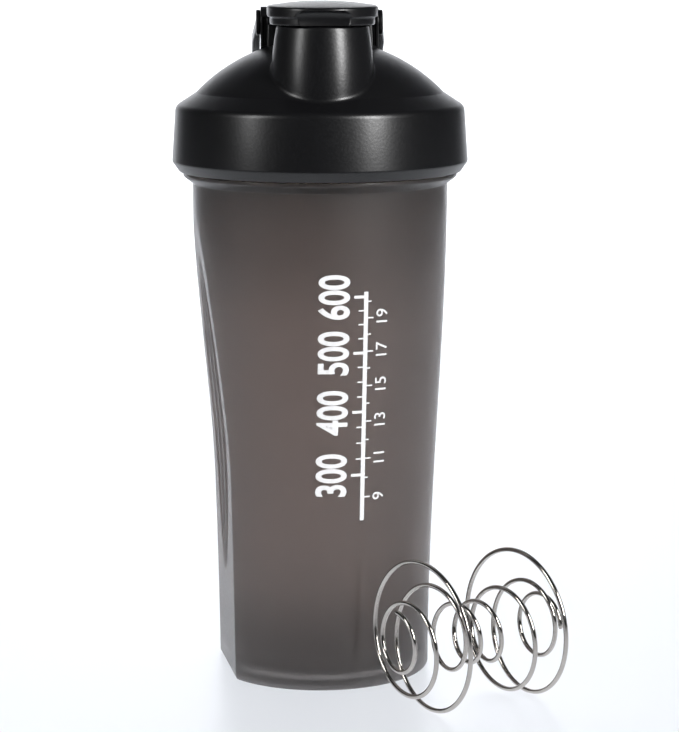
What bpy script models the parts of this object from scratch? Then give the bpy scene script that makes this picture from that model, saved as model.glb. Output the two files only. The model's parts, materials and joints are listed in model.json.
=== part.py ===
"""Protein shaker: smoke cup with side grips, screw lid with a drinking spout, flip cap, carry loop,
seals, and the loose wire whisk lying beside it.

Metres, +Z up. The origin is the middle of the cup's foot and the spout points along -Y.
"""

import math

import bmesh
import bpy
from mathutils import Matrix, Vector

MM = 0.001
CLEARANCE = 0.3 * MM  # gap left between pieces that touch

# Cup: a drinking cup that swells from foot to collar, with a neck above the collar
FOOT_R = 38.3 * MM
SHOULDER_R = 44.2 * MM  # outer radius just under the collar
BODY_H = 172.0 * MM
BODY_SWELL = 1.1  # above 1 the swelling starts later
CUP_WALL = 1.8 * MM
CUP_FLOOR = 2.2 * MM
FOOT_RECESS = 1.0 * MM
FOOT_RING_W = 7.0 * MM
FOOT_FILLET = 1.5 * MM
NECK_R = SHOULDER_R + 1.0 * MM
NECK_WALL = 2.4 * MM
NECK_H = 19.4 * MM
COLLAR_R = NECK_R + 2.2 * MM
COLLAR_H = 3.8 * MM
COLLAR_LIP = 1.4 * MM  # straight part of the collar's edge, above its sloped underside

# Side grips: two faces sunk into the cup, each with three pointed flutes
PRINT_ANGLE = math.radians(-74.4)  # the middle of the cup's front, which lies to the spout's right
GRIP_SPREAD = math.radians(97.0)  # from the cup's front round to each grip's middle
GRIP_DEPTH = 4.9 * MM  # how far the foot is cut back
GRIP_DRAFT = 0.016
GRIP_TOP_Z = BODY_H - 10.0 * MM
GRIP_RAMP = 0.116  # slope of the upper part of a grip
GRIP_BLEND = 0.8 * MM
FLUTE_LOW_Z = 30.0 * MM
FLUTE_HIGH_Z = GRIP_TOP_Z - 10.0 * MM
FLUTE_HALF_W = 14.5 * MM  # half the width of the three flutes together
FLUTE_RIB = 1.6 * MM
FLUTE_DEPTH = 0.8 * MM
FLUTES = (-1, 0, 1)

# Thread: one ridge on the neck, and one in the lid that hooks under it
THREAD_TURNS = 1.25
THREAD_START = 6.2 * MM  # from the collar's top to the middle of the ridge's low end
THREAD_END = 3.2 * MM  # from the middle of the ridge's high end to the rim
THREAD_LEAD = (NECK_H - THREAD_START - THREAD_END) / THREAD_TURNS
THREAD_H = 1.4 * MM
THREAD_ROOT_W = 2.4 * MM
THREAD_CREST_W = 1.0 * MM
THREAD_BITE = 1.0 * MM  # how far the two ridges overlap across the radius
THREAD_SINK = 0.4 * MM

# Lid
LID_WALL = 2.2 * MM
LID_GAP = 1.4 * MM  # between the neck's ridge and the lid's bore
SKIRT_WALL = 3.2 * MM  # at the foot of the skirt
SKIRT_TAPER = 1.3 * MM  # the skirt is this much narrower at its top
SHOULDER_W = 7.1 * MM
SHOULDER_DROP = 4.6 * MM
SHOULDER_FILLET = 3.0 * MM
SHOULDER_RISE = 5.4 * MM  # from the seal's seat to the foot of the dome
SKIRT_CHAMFER_H = 3.4 * MM
SKIRT_CHAMFER_W = 2.3 * MM
DOME_RISE = 18.3 * MM
RING_GAP = 0.6 * MM  # between the neck's bore and the lid's inner ring
RING_WALL = 1.8 * MM
RING_REACH = 3.0 * MM  # how far the inner ring goes into the neck
SEAL_T = 1.8 * MM
SEAL_MARGIN = 0.6 * MM

# Spout
SPOUT_OFFSET = 26.5 * MM
SPOUT_FOOT_R = 17.5 * MM
SPOUT_RIM_R = 15.4 * MM
SPOUT_WALL = 2.1 * MM
SPOUT_RISE = 5.3 * MM  # above the top of the dome
SPOUT_FILLET = 0.7 * MM

# Hinge of the flip cap and the carry loop, one axis along X
HINGE_Y = 6.0 * MM
HINGE_DROP = 0.4 * MM  # the axis is this far under the cap's underside
BARREL_R = 3.6 * MM
PIVOT_R = 1.9 * MM
PIVOT_REACH = 5.0 * MM
LUG_R = 5.5 * MM
LUG_FOOT_W = 15.0 * MM
LUG_SINK = 11.0 * MM  # how far the lug reaches down from the dome's top, into the shell
LUG_WALL = 0.7 * MM
LUG_POCKET_W = 1.2 * MM
LUG_POCKET_DEPTH = 2.6 * MM

# Flip cap
CAP_GAP = 0.4 * MM
CAP_R = 18.4 * MM
CAP_STEP = 0.9 * MM  # the lower band is this much smaller than the lip over it
CAP_BAND_H = 2.7 * MM
CAP_EDGE_H = 2.9 * MM
CAP_CROWN_H = 1.6 * MM
CAP_BACK_Y = -2.6 * MM
CAP_ARM_T = 3.4 * MM
SCOOP_W = 29.0 * MM
SCOOP_H = 5.2 * MM
SCOOP_DEPTH = 3.4 * MM
SPIGOT_R = 8.6 * MM
SPIGOT_H = 3.0 * MM
PLUG_WALL = 3.4 * MM
PLUG_TAPER = 0.6 * MM
PLUG_FLOOR = 1.5 * MM

# Carry loop
LOOP_ARM_T = 1.5 * MM
LOOP_BAR_W = 2.8 * MM
LOOP_CROSS_W = 4.2 * MM
LOOP_DEPTH = 4.4 * MM
LOOP_EYE_R = 4.4 * MM
LOOP_REACH = 47.0 * MM
LOOP_CORNER_R = 17.0 * MM
LOOP_SLOPE = 1.09  # slope of the folded loop, as a share of the dome's

# Whisk: one wire wound as two bulbs, lying on the table to the right of the front
WIRE_R = 0.8 * MM
WHISK_TURNS = 9.25
WHISK_LENGTH = 62.0 * MM
WHISK_END_R = 10.2 * MM
WHISK_BULB_R = 26.4 * MM
WHISK_SHARPNESS = 2.95
WHISK_PACKING = 0.59  # how much closer the turns lie near the ends than in the middle
WHISK_PHASE = 0.0285  # where in the wave of the bulbs the wire starts
WHISK_WAVES = 0.951
WHISK_START = (22.4 * MM, -67.7 * MM)
WHISK_HEADING = math.radians(58.3)  # from +Y towards +X
WHISK_SLOPE = 0.044  # the axis drops towards the far end, so that both bulbs touch the table
WHISK_POINTS_PER_TURN = 14

# Fineness of the round pieces
TURN_STEPS = 48
SMALL_STEPS = 32
THREAD_STEPS = 32

# Heights and radii that follow from the sizes above
COLLAR_TOP_Z = BODY_H + COLLAR_H
RIM_Z = COLLAR_TOP_Z + NECK_H
THREAD_R = NECK_R + THREAD_H
LID_BORE_R = THREAD_R + LID_GAP
LID_FOOT_Z = COLLAR_TOP_Z + CLEARANCE
SEAT_Z = RIM_Z + SEAL_T + 2 * CLEARANCE
DOME_FOOT_Z = SEAT_Z + SHOULDER_RISE
SKIRT_FOOT_R = LID_BORE_R + SKIRT_WALL
SKIRT_TOP_R = SKIRT_FOOT_R - SKIRT_TAPER
DOME_FOOT_R = SKIRT_TOP_R - SHOULDER_W
DOME_R = (DOME_FOOT_R**2 + DOME_RISE**2) / (2 * DOME_RISE)
DOME_TOP_Z = DOME_FOOT_Z + DOME_RISE
DOME_CENTRE_Z = DOME_TOP_Z - DOME_R
RING_OUTER_R = NECK_R - NECK_WALL - RING_GAP
RING_INNER_R = RING_OUTER_R - RING_WALL
SPOUT_RIM_Z = DOME_TOP_Z + SPOUT_RISE
CAP_Z = SPOUT_RIM_Z + CAP_GAP
HINGE_Z = CAP_Z - HINGE_DROP
BARREL_HALF = CAP_R - CAP_STEP - 0.3 * MM
LUG_INNER_X = BARREL_HALF + CLEARANCE
LUG_OUTER_X = LUG_INNER_X + 2 * LUG_WALL + LUG_POCKET_W
LOOP_INNER_X = LUG_OUTER_X + CLEARANCE
LOOP_FOLD = -math.atan(LOOP_SLOPE * DOME_RISE / DOME_FOOT_R)  # direction of the folded loop, from +Y


def new_collection(name):
    """An empty collection in the scene."""
    group = bpy.data.collections.new(name)
    bpy.context.scene.collection.children.link(group)
    return group


def material(name, colour, roughness, metallic=0.0, alpha=1.0):
    """A Principled material."""
    made = bpy.data.materials.new(name)
    made.use_nodes = True
    shader = made.node_tree.nodes["Principled BSDF"]
    shader.inputs["Base Color"].default_value = (*colour, 1.0)
    shader.inputs["Roughness"].default_value = roughness
    shader.inputs["Metallic"].default_value = metallic
    shader.inputs["Alpha"].default_value = alpha
    return made


def add_mesh(name, points, edges, faces, group):
    """A mesh object made from points, edges and faces."""
    mesh = bpy.data.meshes.new(name)
    mesh.from_pydata(points, edges, faces)
    piece = bpy.data.objects.new(name, mesh)
    group.objects.link(piece)
    return piece


def finish(piece, look):
    """Gives a piece its material and smooth shading, with sharp edges kept."""
    piece.data.materials.append(look)
    piece.data.shade_smooth()
    piece.data.set_sharp_from_angle(angle=math.radians(35))
    return piece


def as_cutter(piece):
    """Marks a piece as a cutter, which isn't part of the model."""
    piece.hide_render = True
    piece.display_type = "WIRE"
    return piece


def rounded(corners, steps=4):
    """The points of an open outline whose corners (x, y, radius) are rounded."""
    points = []
    for i, (x, y, radius) in enumerate(corners):
        corner = Vector((x, y))
        if radius == 0 or i in (0, len(corners) - 1):
            points.append(corner)
            continue
        before = (Vector(corners[i - 1][:2]) - corner).normalized()
        after = (Vector(corners[i + 1][:2]) - corner).normalized()
        half = before.angle(after) / 2
        start = corner + before * (radius / math.tan(half))
        end = corner + after * (radius / math.tan(half))
        centre = corner + (before + after).normalized() * (radius / math.sin(half))
        first = start - centre
        sweep = first.angle_signed(end - centre)
        for k in range(steps + 1):
            points.append(centre + Matrix.Rotation(-sweep * k / steps, 2) @ first)
    return [tuple(p) for p in points]


def arc(centre, radius, start, end, steps):
    """Points on an arc between two angles."""
    angles = [start + (end - start) * k / steps for k in range(steps + 1)]
    return [(centre[0] + radius * math.cos(a), centre[1] + radius * math.sin(a)) for a in angles]


def turned(name, profile, group, steps=TURN_STEPS):
    """A solid of revolution about Z. The profile (radius, z) runs down the outer side."""
    points = [(r, 0.0, z) for r, z in profile]
    edges = [(i, i + 1) for i in range(len(points) - 1)]
    piece = add_mesh(name, points, edges, [], group)
    screw = piece.modifiers.new("Turn", "SCREW")
    screw.steps = steps
    screw.render_steps = steps
    screw.use_merge_vertices = True
    screw.merge_threshold = 0.01 * MM
    return piece


def plate(name, outline, thickness, group, placing=Matrix()):
    """A flat outline in its own XY plane, thickened evenly to both sides, as a mesh."""
    curve = bpy.data.curves.new(name, "CURVE")
    curve.dimensions = "2D"
    curve.fill_mode = "BOTH"
    curve.extrude = thickness / 2
    spline = curve.splines.new("POLY")
    spline.points.add(len(outline) - 1)
    for point, (x, y) in zip(spline.points, outline):
        point.co = (x, y, 0.0, 1.0)
    spline.use_cyclic_u = True
    return curve_to_mesh(name, curve, group, placing)


def curve_to_mesh(name, curve, group, placing=Matrix()):
    """Turns curve data into a mesh object whose caps are welded."""
    source = bpy.data.objects.new(name + "_curve", curve)
    group.objects.link(source)
    bpy.context.view_layer.update()
    shape = source.evaluated_get(bpy.context.evaluated_depsgraph_get())
    mesh = bpy.data.meshes.new_from_object(shape)
    bpy.data.objects.remove(source)
    welded = bmesh.new()
    welded.from_mesh(mesh)
    bmesh.ops.remove_doubles(welded, verts=welded.verts, dist=0.005 * MM)
    bmesh.ops.recalc_face_normals(welded, faces=welded.faces)
    welded.transform(placing)
    welded.to_mesh(mesh)
    welded.free()
    piece = bpy.data.objects.new(name, mesh)
    group.objects.link(piece)
    return piece


def rod_along_x(name, radius, low_x, high_x, group, steps=SMALL_STEPS):
    """A cylinder along X on the hinge's axis."""
    mesh = bpy.data.meshes.new(name)
    shape = bmesh.new()
    placing = Matrix.Translation(((low_x + high_x) / 2, HINGE_Y, HINGE_Z)) @ Matrix.Rotation(math.pi / 2, 4, "Y")
    bmesh.ops.create_cone(
        shape,
        cap_ends=True,
        segments=steps,
        radius1=radius,
        radius2=radius,
        depth=high_x - low_x,
        matrix=placing,
    )
    shape.to_mesh(mesh)
    shape.free()
    piece = bpy.data.objects.new(name, mesh)
    group.objects.link(piece)
    return piece


def combine(piece, tool, operation):
    """Adds, cuts or intersects a piece with a tool."""
    step = piece.modifiers.new(operation.title() + " " + tool.name, "BOOLEAN")
    step.operation = operation
    step.solver = "EXACT"
    step.object = as_cutter(tool)


def helical_ridge(name, radius, height, start_z, group):
    """A thread ridge of trapezoid section; a negative height makes it point inwards."""
    steps = round(THREAD_STEPS * THREAD_TURNS)
    side = math.copysign(1, height)
    points = []
    faces = []
    for k in range(steps + 1):
        angle = 2 * math.pi * THREAD_TURNS * k / steps
        z = start_z + THREAD_LEAD * THREAD_TURNS * k / steps
        crest = radius + (height if 0 < k < steps else side * CLEARANCE)
        root = radius - side * THREAD_SINK
        for r, dz in (
            (root, -THREAD_ROOT_W / 2),
            (root, THREAD_ROOT_W / 2),
            (crest, THREAD_CREST_W / 2),
            (crest, -THREAD_CREST_W / 2),
        ):
            points.append((r * math.cos(angle), r * math.sin(angle), z + dz))
    for k in range(steps):
        for i in range(4):
            a = 4 * k + i
            b = 4 * k + (i + 1) % 4
            faces.append((a, b, b + 4, a + 4))
    faces.append((3, 2, 1, 0))
    last = 4 * steps
    faces.append((last, last + 1, last + 2, last + 3))
    piece = add_mesh(name, points, [], faces, group)
    fix_normals(piece)
    return piece


def fix_normals(piece):
    """Turns every face of a mesh outwards."""
    shape = bmesh.new()
    shape.from_mesh(piece.data)
    bmesh.ops.recalc_face_normals(shape, faces=shape.faces)
    shape.to_mesh(piece.data)
    shape.free()


def body_radius(z):
    """The cup's outer radius at a height: a gentle swelling from foot to collar."""
    t = min(max(z / BODY_H, 0.0), 1.0) ** BODY_SWELL
    return FOOT_R + (SHOULDER_R - FOOT_R) * (3 * t**2 - 2 * t**3)


def grip_distance(z):
    """How far a grip's face is from the cup's axis: a near-upright foot blending into a ramp."""
    foot = FOOT_R - GRIP_DEPTH + GRIP_DRAFT * z
    ramp = body_radius(GRIP_TOP_Z) - GRIP_RAMP * (GRIP_TOP_Z - z)
    return (foot + ramp) / 2 + math.sqrt(((foot - ramp) / 2) ** 2 + GRIP_BLEND**2)


def grip_angles():
    """The directions in which the two grips face."""
    return PRINT_ANGLE - GRIP_SPREAD, PRINT_ANGLE + GRIP_SPREAD


def grip_cutter(name, inset, angle, group):
    """A block that removes everything outside a grip's face, moved in by the inset."""
    margin = 4 * MM
    far = 2 * SHOULDER_R
    low = -margin
    high = GRIP_TOP_Z + margin
    steps = 14
    heights = [low + (high - low) * k / steps for k in range(steps + 1)]
    outline = [(grip_distance(z) - inset, z) for z in heights]
    outline += [(far, high), (far, low)]
    stand = Matrix.Rotation(angle, 4, "Z") @ Matrix.Rotation(math.pi / 2, 4, "X")
    return plate(name, outline, 3 * FOOT_R, group, stand)


def flute_cutter(name, flute, angle, group):
    """A shallow groove, pointed at both ends, cut into a grip's face beside its neighbours."""
    steps = 10
    points = []
    faces = []
    for k in range(steps + 1):
        t = k / steps
        z = FLUTE_LOW_Z + (FLUTE_HIGH_Z - FLUTE_LOW_Z) * t
        spread = FLUTE_HALF_W * math.sin(math.pi * min(max(t, 0.02), 0.98)) ** 0.8
        middle = flute * spread * 2 / 3
        half = max(spread / 3 - FLUTE_RIB / 2, 0.15 * MM)
        surface = grip_distance(z)
        bottom = surface - FLUTE_DEPTH * min(1.0, half / (2 * MM))
        top = surface + 1 * MM
        points += [(top, middle - half, z), (bottom, middle - half * 0.45, z)]
        points += [(bottom, middle + half * 0.45, z), (top, middle + half, z)]
    for k in range(steps):
        for i in range(4):
            a = 4 * k + i
            b = 4 * k + (i + 1) % 4
            faces.append((a, b, b + 4, a + 4))
    faces.append((0, 1, 2, 3))
    last = 4 * steps
    faces.append((last + 3, last + 2, last + 1, last))
    piece = add_mesh(name, points, [], faces, group)
    piece.data.transform(Matrix.Rotation(angle, 4, "Z"))
    fix_normals(piece)
    return piece


def cup_outside(group):
    """The cup as a solid block of revolution."""
    neck_edge = 0.6 * MM
    collar_edge = 0.4 * MM
    steps = 8
    wall = [BODY_H * (1 - k / steps) for k in range(steps + 1)]
    profile = [(0.0, RIM_Z)]
    profile += rounded(
        [
            (0.0, RIM_Z, 0),
            (NECK_R, RIM_Z, neck_edge),
            (NECK_R, COLLAR_TOP_Z, 0),
            (COLLAR_R, COLLAR_TOP_Z, collar_edge),
            (COLLAR_R, COLLAR_TOP_Z - COLLAR_LIP, collar_edge),
            (body_radius(BODY_H), BODY_H, 0),
        ],
        steps=2,
    )[1:]
    profile += [(body_radius(z), z) for z in wall[1:-1]]
    recess_r = FOOT_R - FOOT_RING_W
    profile += rounded(
        [
            (body_radius(wall[-2]), wall[-2], 0),
            (FOOT_R, 0.0, FOOT_FILLET),
            (recess_r, 0.0, 0),
            (recess_r - FOOT_RECESS, FOOT_RECESS, 0),
            (0.0, FOOT_RECESS, 0),
        ],
        steps=3,
    )[1:]
    return turned("cup", profile, group)


def cup_cavity(group):
    """The space inside the cup."""
    corner = 4.0 * MM
    over = 1.0 * MM
    steps = 6
    floor_z = FOOT_RECESS + CUP_FLOOR
    wall = [BODY_H - (BODY_H - floor_z) * k / steps for k in range(steps)]
    profile = [(0.0, RIM_Z + over), (NECK_R - NECK_WALL, RIM_Z + over), (NECK_R - NECK_WALL, COLLAR_TOP_Z)]
    profile += [(body_radius(z) - CUP_WALL, z) for z in wall]
    profile += rounded(
        [
            (body_radius(wall[-1]) - CUP_WALL, wall[-1], 0),
            (body_radius(floor_z) - CUP_WALL, floor_z, corner),
            (0.0, floor_z, 0),
        ],
        steps=3,
    )[1:]
    return turned("cup_cavity", profile, group)


def make_cup(parts, tools, look):
    """The cup: body, collar, threaded neck, two grips with flutes, and an even wall."""
    cup = cup_outside(parts)
    cavity = cup_cavity(tools)
    for side, angle in zip(("left", "right"), grip_angles()):
        combine(cup, grip_cutter("grip_face_" + side, 0.0, angle, tools), "DIFFERENCE")
        combine(cavity, grip_cutter("grip_inside_" + side, CUP_WALL, angle, tools), "DIFFERENCE")
    combine(cup, cavity, "DIFFERENCE")
    for side, angle in zip(("left", "right"), grip_angles()):
        for flute in FLUTES:
            name = "flute_" + side + "_" + str(flute + 2)
            combine(cup, flute_cutter(name, flute, angle, tools), "DIFFERENCE")
    ridge_z = COLLAR_TOP_Z + THREAD_START
    combine(cup, helical_ridge("neck_ridge", NECK_R, THREAD_H, ridge_z, tools), "UNION")
    return finish(cup, look)


def lid_outside(group):
    """The lid's dome, shoulder and skirt as a solid block."""
    edge_angle = math.asin((DOME_FOOT_Z - DOME_CENTRE_Z) / DOME_R)
    profile = arc((0.0, DOME_CENTRE_Z), DOME_R, math.pi / 2, edge_angle, 10)
    profile[0] = (0.0, DOME_TOP_Z)
    profile += rounded(
        [
            (DOME_FOOT_R, DOME_FOOT_Z, 0),
            (SKIRT_TOP_R, DOME_FOOT_Z - SHOULDER_DROP, SHOULDER_FILLET),
            (SKIRT_FOOT_R, LID_FOOT_Z + SKIRT_CHAMFER_H, 0.8 * MM),
            (SKIRT_FOOT_R - SKIRT_CHAMFER_W, LID_FOOT_Z, 0),
            (0.0, LID_FOOT_Z, 0),
        ],
        steps=3,
    )[1:]
    return turned("lid", profile, group)


def lid_cavity(group):
    """The space inside the lid: bore, seat of the seal, inner ring and dome."""
    inner_r = DOME_R - LID_WALL
    ring_top = DOME_CENTRE_Z + math.sqrt(inner_r**2 - RING_INNER_R**2)
    ring_foot = RIM_Z - RING_REACH
    below = LID_FOOT_Z - 1 * MM
    profile = arc((0.0, DOME_CENTRE_Z), inner_r, math.pi / 2, math.acos(RING_INNER_R / inner_r), 8)
    profile[0] = (0.0, DOME_CENTRE_Z + inner_r)
    profile[-1] = (RING_INNER_R, ring_top)
    profile += [(RING_INNER_R, ring_foot), (RING_OUTER_R, ring_foot), (RING_OUTER_R, SEAT_Z)]
    profile += [(LID_BORE_R, SEAT_Z), (LID_BORE_R, below), (0.0, below)]
    return turned("lid_cavity", profile, group)


def spout_radius(z):
    """The spout's outer radius: a barrel that narrows towards the rim."""
    t = (z - DOME_FOOT_Z) / (SPOUT_RIM_Z - DOME_FOOT_Z)
    return SPOUT_FOOT_R - (SPOUT_FOOT_R - SPOUT_RIM_R) * t**2


def spout_solid(name, inset, low_z, high_z, group):
    """The spout as a solid, or its bore when the inset is the wall."""
    steps = 6
    heights = [high_z + (low_z - high_z) * k / steps for k in range(steps + 1)]
    edge = SPOUT_FILLET if inset == 0 else 0.0
    wall = [(spout_radius(min(z, SPOUT_RIM_Z)) - inset, z) for z in heights]
    profile = rounded([(0.0, high_z, 0), (*wall[0], edge), (*wall[1], 0)], steps=2)
    profile += wall[2:] + [(0.0, low_z)]
    piece = turned(name, profile, group, SMALL_STEPS)
    piece.location.y = -SPOUT_OFFSET
    return piece


def lug_solid(name, side, group):
    """A hinge lug: a plate with a round top over a wider foot, set upright beside the flip cap."""
    foot_z = DOME_TOP_Z - LUG_SINK - HINGE_Z
    outline = arc((0.0, 0.0), LUG_R, math.radians(-15), math.radians(195), 12)
    outline += [(-LUG_FOOT_W / 2, foot_z), (LUG_FOOT_W / 2, foot_z)]
    middle = side * (LUG_INNER_X + LUG_OUTER_X) / 2
    upright = Matrix(((0, 0, 1, middle), (1, 0, 0, HINGE_Y), (0, 1, 0, HINGE_Z), (0, 0, 0, 1)))
    return plate(name, outline, LUG_OUTER_X - LUG_INNER_X, group, upright)


def lug_pocket(name, side, group):
    """The slot in a lug's front edge that leaves it as two thin walls."""
    low_z = DOME_TOP_Z - HINGE_Z - 2.5 * MM
    front = -LUG_FOOT_W
    reach = -LUG_R + LUG_POCKET_DEPTH
    outline = [(front, low_z), (reach, low_z), (reach, PIVOT_R), (front, PIVOT_R)]
    middle = side * (LUG_INNER_X + LUG_OUTER_X) / 2
    upright = Matrix(((0, 0, 1, middle), (1, 0, 0, HINGE_Y), (0, 1, 0, HINGE_Z), (0, 0, 0, 1)))
    return plate(name, outline, LUG_POCKET_W, group, upright)


def make_lid(parts, tools, look):
    """The lid: skirt, dome, spout, two hinge lugs, and the ridge that screws onto the neck."""
    lid = lid_outside(parts)
    inside_z = DOME_FOOT_Z - SHOULDER_DROP / 2
    combine(lid, spout_solid("spout", 0.0, inside_z, SPOUT_RIM_Z, tools), "UNION")
    for side in (-1, 1):
        lug = lug_solid("lug_" + str(side + 2), side, tools)
        combine(lug, lug_pocket("lug_pocket_" + str(side + 2), side, tools), "DIFFERENCE")
        combine(lid, lug, "UNION")
    combine(lid, lid_cavity(tools), "DIFFERENCE")
    bore_low = DOME_FOOT_Z + 0.5 * MM
    bore_high = SPOUT_RIM_Z + 1 * MM
    combine(lid, spout_solid("spout_bore", SPOUT_WALL, bore_low, bore_high, tools), "DIFFERENCE")
    hole = rod_along_x("pivot_holes", PIVOT_R + CLEARANCE, -2 * CAP_R, 2 * CAP_R, tools, 20)
    combine(lid, hole, "DIFFERENCE")
    ridge_z = COLLAR_TOP_Z + THREAD_START - THREAD_ROOT_W - CLEARANCE
    reach = LID_BORE_R - THREAD_R + THREAD_BITE
    combine(lid, helical_ridge("lid_ridge", LID_BORE_R, -reach, ridge_z, tools), "UNION")
    return finish(lid, look)


def make_lid_gasket(parts, look):
    """The flat seal between the neck's rim and the lid's seat."""
    inner = RING_OUTER_R + CLEARANCE
    outer = LID_BORE_R - SEAL_MARGIN
    low = RIM_Z + CLEARANCE
    high = low + SEAL_T
    edge = 0.4 * MM
    ring = rounded(
        [(inner, high, 0), (outer, high, edge), (outer, low, edge), (inner, low, 0)],
        steps=2,
    )
    gasket = turned("lid_gasket", ring + [ring[0]], parts)
    return finish(gasket, look)


def cap_outline(half):
    """The flip cap in plan: a half round at the front and straight sides back to the hinge."""
    steps = 24
    front = arc((0.0, -SPOUT_OFFSET), half, math.pi, 2 * math.pi, steps)
    return front + [(half, CAP_BACK_Y), (-half, CAP_BACK_Y)]


def ellipsoid(name, centre, size, group):
    """A stretched sphere."""
    mesh = bpy.data.meshes.new(name)
    shape = bmesh.new()
    placing = Matrix.Translation(centre) @ Matrix.Diagonal((*size, 1.0))
    bmesh.ops.create_uvsphere(shape, u_segments=24, v_segments=12, radius=1.0, matrix=placing)
    shape.to_mesh(mesh)
    shape.free()
    piece = bpy.data.objects.new(name, mesh)
    group.objects.link(piece)
    return piece


def crown(name, group):
    """A wide turned lens whose top is the crowned top of the cap."""
    top_z = CAP_Z + CAP_BAND_H + CAP_EDGE_H + CAP_CROWN_H
    radius = (CAP_R**2 + CAP_CROWN_H**2) / (2 * CAP_CROWN_H)
    reach = 2.2 * CAP_R
    profile = arc((0.0, top_z - radius), radius, math.pi / 2, math.acos(reach / radius), 8)
    profile[0] = (0.0, top_z)
    low = CAP_Z - SPIGOT_H
    piece = turned(name, profile + [(reach, low), (0.0, low)], group, SMALL_STEPS)
    piece.location.y = (CAP_BACK_Y - SPOUT_OFFSET - CAP_R) / 2
    return piece


def hinge_arm(name, group):
    """The flat neck between the cap and its hinge barrel."""
    outline = [
        (-BARREL_HALF, CAP_BACK_Y - 1 * MM),
        (BARREL_HALF, CAP_BACK_Y - 1 * MM),
        (BARREL_HALF, HINGE_Y),
        (-BARREL_HALF, HINGE_Y),
    ]
    lift = Matrix.Translation((0.0, 0.0, CAP_Z + CAP_ARM_T / 2 - 0.05 * MM))
    return plate(name, outline, CAP_ARM_T, group, lift)


def make_flip_cap(parts, tools, look):
    """The flip cap: lower band, overhanging lip, crowned top, thumb scoop, spigot and hinge barrel."""
    over = 6 * MM
    band = Matrix.Translation((0.0, 0.0, CAP_Z + CAP_BAND_H / 2 + over / 2))
    cap = plate("flip_cap", cap_outline(CAP_R - CAP_STEP), CAP_BAND_H + over, parts, band)
    lip_low = CAP_Z + CAP_BAND_H
    lip_high = lip_low + CAP_EDGE_H + over
    lip = Matrix.Translation((0.0, 0.0, (lip_low + lip_high) / 2))
    combine(cap, plate("cap_lip", cap_outline(CAP_R), lip_high - lip_low, tools, lip), "UNION")
    combine(cap, crown("cap_crown", tools), "INTERSECT")
    scoop_at = (0.0, -SPOUT_OFFSET - CAP_R, lip_low)
    scoop_size = (SCOOP_W / 2, SCOOP_DEPTH, SCOOP_H / 2)
    combine(cap, ellipsoid("thumb_scoop", scoop_at, scoop_size, tools), "DIFFERENCE")
    spigot_top = CAP_Z + 1 * MM
    spigot_low = CAP_Z - SPIGOT_H
    profile = [(0.0, spigot_top), (SPIGOT_R, spigot_top), (SPIGOT_R, spigot_low), (0.0, spigot_low)]
    spigot = turned("cap_spigot", profile, tools, SMALL_STEPS)
    spigot.location.y = -SPOUT_OFFSET
    combine(cap, spigot, "UNION")
    combine(cap, hinge_arm("cap_arm", tools), "UNION")
    combine(cap, rod_along_x("cap_barrel", BARREL_R, -BARREL_HALF, BARREL_HALF, tools, 24), "UNION")
    bore_r = PIVOT_R + CLEARANCE
    bore_x = BARREL_HALF - PIVOT_REACH - CLEARANCE
    for side in (-1, 1):
        low, high = sorted((side * bore_x, side * 2 * BARREL_HALF))
        combine(cap, rod_along_x("cap_bore_" + str(side + 2), bore_r, low, high, tools, 20), "DIFFERENCE")
    return finish(cap, look)


def make_spout_seal(parts, look):
    """The soft plug pushed over the cap's spigot, which closes the spout's bore."""
    top = CAP_Z - CLEARANCE
    inner_r = SPIGOT_R + CLEARANCE
    outer_r = inner_r + PLUG_WALL
    pocket_z = CAP_Z - SPIGOT_H - CLEARANCE
    low = pocket_z - PLUG_FLOOR
    profile = [(0.0, pocket_z), (inner_r, pocket_z), (inner_r, top)]
    profile += rounded(
        [(inner_r, top, 0), (outer_r, top, 0), (outer_r - PLUG_TAPER, low, 0.8 * MM), (0.0, low, 0)],
        steps=2,
    )[1:]
    seal = turned("spout_seal", profile, parts, SMALL_STEPS)
    seal.location.y = -SPOUT_OFFSET
    return finish(seal, look)


def loop_outline():
    """The carry loop in its own plane: x across, y away from the hinge. A U with thin ends."""
    bend = 14 * MM
    outer_x = LOOP_INNER_X + LOOP_BAR_W
    inner = rounded(
        [
            (LOOP_INNER_X, 0.0, 0),
            (LOOP_INNER_X, LOOP_REACH - LOOP_CROSS_W, LOOP_CORNER_R),
            (-LOOP_INNER_X, LOOP_REACH - LOOP_CROSS_W, LOOP_CORNER_R),
            (-LOOP_INNER_X, 0.0, 0),
        ],
        steps=8,
    )
    outer = rounded(
        [
            (-LOOP_INNER_X - LOOP_ARM_T, 0.0, 0),
            (-LOOP_INNER_X - LOOP_ARM_T, 0.2 * bend, 0),
            (-outer_x, bend, 0),
            (-outer_x, LOOP_REACH, LOOP_CORNER_R + LOOP_BAR_W),
            (outer_x, LOOP_REACH, LOOP_CORNER_R + LOOP_BAR_W),
            (outer_x, bend, 0),
            (LOOP_INNER_X + LOOP_ARM_T, 0.2 * bend, 0),
            (LOOP_INNER_X + LOOP_ARM_T, 0.0, 0),
        ],
        steps=8,
    )
    return inner + outer


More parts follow.
